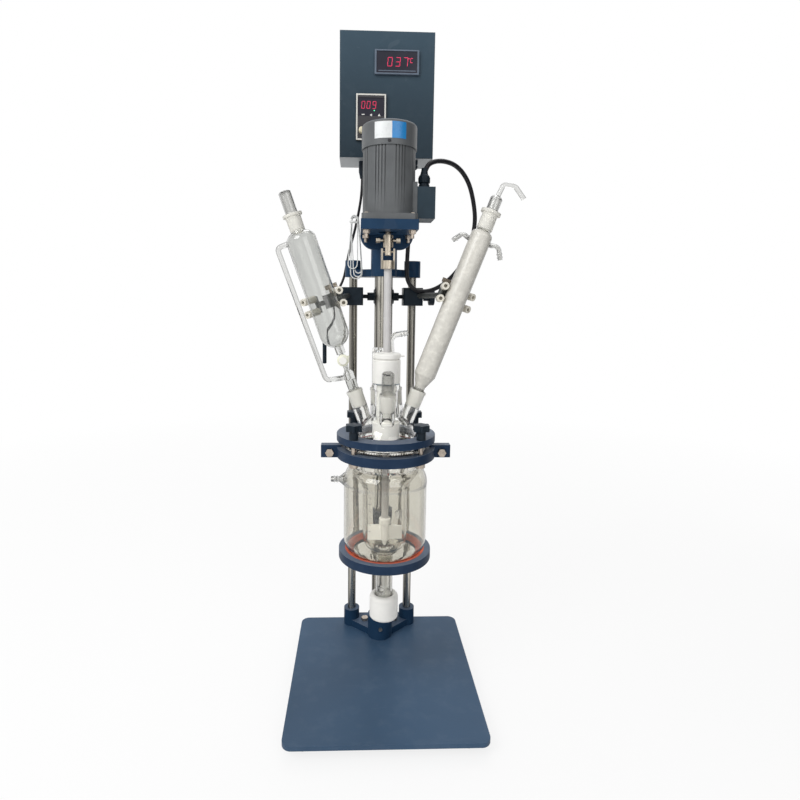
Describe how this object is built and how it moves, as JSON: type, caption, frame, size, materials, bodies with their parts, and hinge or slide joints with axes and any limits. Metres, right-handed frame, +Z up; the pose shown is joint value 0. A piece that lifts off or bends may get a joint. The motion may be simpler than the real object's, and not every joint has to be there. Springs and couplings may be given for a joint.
{
  "type": "bench reactor",
  "caption": "Benchtop jacketed glass reactor on a three-upright stand, with stirrer motor, control box, dropping funnel and condenser.",
  "frame": {"origin": "bottom centre of the bounding box, on the bench under the rubber feet", "axes": "+X to the right seen from the front, +Y to the back where the uprights stand, +Z up"},
  "size_m": [0.4153, 0.3695, 1.1904],
  "materials": {
    "base_coat": "satin",
    "blue_paint": "satin",
    "steel": "brushed",
    "ring_black": "satin",
    "glass_clear": "clear",
    "white_plastic": "satin",
    "black_plastic": "satin",
    "black_rubber": "matt",
    "orange_rubber": "matt",
    "motor_grey": "satin",
    "box_grey": "satin",
    "panel_blue": "satin",
    "meter_black": "gloss",
    "cream_plastic": "satin",
    "claw_grey": "cast",
    "cable_black": "satin",
    "lead_white": "satin"
  },
  "bodies": {
    "stand": {"base_plate": "base_coat", "rubber_feet": "black_rubber", "base_casting": "blue_paint", "crosshead": "blue_paint", "uprights": "steel", "lower_ring": "ring_black", "clamp_ring_front": "ring_black", "clamp_ring_rear": "ring_black", "cover_ring": "ring_black", "jacketed_vessel": "glass_clear", "glass_lid": "glass_clear", "hollow_stoppers": "glass_clear", "thermowell": "glass_clear", "elbow_adaptor": "glass_clear", "seal_housing": "white_plastic", "seal_nut": "white_plastic", "seal_cap": "white_plastic", "seals": "orange_rubber", "motor_bracket": "blue_paint", "motor_body": "motor_grey", "fan_cover": "motor_grey", "box_shell": "box_grey", "front_panel": "panel_blue", "temperature_meter": "meter_black", "speed_controller": "meter_black", "box_bracket": "blue_paint", "cable_fittings": "black_plastic", "funnel": "glass_clear", "condenser": "glass_clear", "condenser_outlet": "glass_clear", "boss_heads": "ring_black", "funnel_claw": "claw_grey", "condenser_claw": "claw_grey", "fasteners": "steel", "motor_cable": "cable_black", "sensor_lead": "cable_black", "spare_lead": "lead_white", "lead_probe": "black_plastic"},
    "stirrer": {"motor_shaft": "steel", "coupling_upper": "steel", "coupling_cross": "steel", "coupling_lower": "steel", "stirrer_shaft": "white_plastic", "paddle": "white_plastic"},
    "lid_knob_1": {"lid_knob_1": "black_plastic"},
    "lid_knob_2": {"lid_knob_2": "black_plastic"},
    "lid_knob_3": {"lid_knob_3": "black_plastic"},
    "lid_knob_4": {"lid_knob_4": "black_plastic"},
    "drain_knob": {"drain_knob": "white_plastic"},
    "drain_stem": {"drain_stem": "white_plastic"},
    "stopcock_key": {"stopcock_key": "white_plastic"},
    "speed_dial": {"speed_dial": "cream_plastic"},
    "left_rail_screw": {"left_rail_screw": "black_plastic"},
    "right_rail_screw": {"right_rail_screw": "black_plastic"},
    "left_arm_screw": {"left_arm_screw": "black_plastic"},
    "right_arm_screw": {"right_arm_screw": "black_plastic"},
    "funnel_claw_jaw": {"funnel_claw_jaw": "claw_grey"},
    "funnel_wing_screw": {"funnel_wing_screw": "steel"},
    "condenser_claw_jaw": {"condenser_claw_jaw": "claw_grey"},
    "condenser_wing_screw": {"condenser_wing_screw": "steel"}
  },
  "joints": [
    {"name": "stirrer_spin", "type": "hinge", "parent": "stand", "child": "stirrer", "pos_m": [-0.021, -0.032, 0.728], "axis": [0, 0, 1], "continuous": true},
    {"name": "lid_knob_1_turn", "type": "hinge", "parent": "stand", "child": "lid_knob_1", "pos_m": [-0.07615, -0.08715, 0.503], "axis": [0, 0, 1], "range_deg": [0, 720]},
    {"name": "lid_knob_2_turn", "type": "hinge", "parent": "stand", "child": "lid_knob_2", "pos_m": [0.03415, -0.08715, 0.503], "axis": [0, 0, 1], "range_deg": [0, 720]},
    {"name": "lid_knob_3_turn", "type": "hinge", "parent": "stand", "child": "lid_knob_3", "pos_m": [-0.07615, 0.02315, 0.503], "axis": [0, 0, 1], "range_deg": [0, 720]},
    {"name": "lid_knob_4_turn", "type": "hinge", "parent": "stand", "child": "lid_knob_4", "pos_m": [0.03415, 0.02315, 0.503], "axis": [0, 0, 1], "range_deg": [0, 720]},
    {"name": "drain_knob_turn", "type": "hinge", "parent": "stand", "child": "drain_knob", "pos_m": [-0.021, -0.032, 0.173], "axis": [0, 0, 1], "range_deg": [0, 720]},
    {"name": "drain_stem_slide", "type": "slide", "parent": "stand", "child": "drain_stem", "axis": [0, 0, -1], "range_m": [0, 0.006]},
    {"name": "stopcock_turn", "type": "hinge", "parent": "stand", "child": "stopcock_key", "pos_m": [-0.09513, -0.032, 0.61832], "axis": [0, -1, 0], "continuous": true},
    {"name": "speed_dial_turn", "type": "hinge", "parent": "stand", "child": "speed_dial", "pos_m": [-0.066, 0.058, 1.019], "axis": [0, -1, 0], "range_deg": [0, 300]},
    {"name": "left_rail_screw_turn", "type": "hinge", "parent": "stand", "child": "left_rail_screw", "pos_m": [-0.051, 0.153, 0.7261], "axis": [1, 0, 0], "range_deg": [0, 720]},
    {"name": "right_rail_screw_turn", "type": "hinge", "parent": "stand", "child": "right_rail_screw", "pos_m": [0.009, 0.153, 0.7261], "axis": [-1, 0, 0], "range_deg": [0, 720]},
    {"name": "left_arm_screw_turn", "type": "hinge", "parent": "stand", "child": "left_arm_screw", "pos_m": [-0.097, 0.173, 0.7261], "axis": [0, 1, 0], "range_deg": [0, 720]},
    {"name": "right_arm_screw_turn", "type": "hinge", "parent": "stand", "child": "right_arm_screw", "pos_m": [0.064, 0.128, 0.7261], "axis": [1, 0, 0], "range_deg": [0, 720]},
    {"name": "funnel_claw_open", "type": "hinge", "parent": "stand", "child": "funnel_claw_jaw", "pos_m": [-0.12355, 0.01572, 0.71593], "axis": [0.3338, 0, -0.9426], "range_deg": [0, 35]},
    {"name": "funnel_wing_screw_turn", "type": "hinge", "parent": "stand", "child": "funnel_wing_screw", "pos_m": [-0.1165, 0.01558, 0.73964], "axis": [-0.3338, 0, 0.9426], "range_deg": [0, 720]},
    {"name": "condenser_claw_open", "type": "hinge", "parent": "stand", "child": "condenser_claw_jaw", "pos_m": [0.09194, 0.0091, 0.72608], "axis": [0.3584, 0, 0.9336], "range_deg": [0, 35]},
    {"name": "condenser_wing_screw_turn", "type": "hinge", "parent": "stand", "child": "condenser_wing_screw", "pos_m": [0.08552, 0.00896, 0.74997], "axis": [0.3584, 0, 0.9336], "range_deg": [0, 720]}
  ],
  "couplings": [
    {"joint": "drain_knob_turn", "follows": "drain_stem_slide", "rad_per_m": 2094.4}
  ]
}
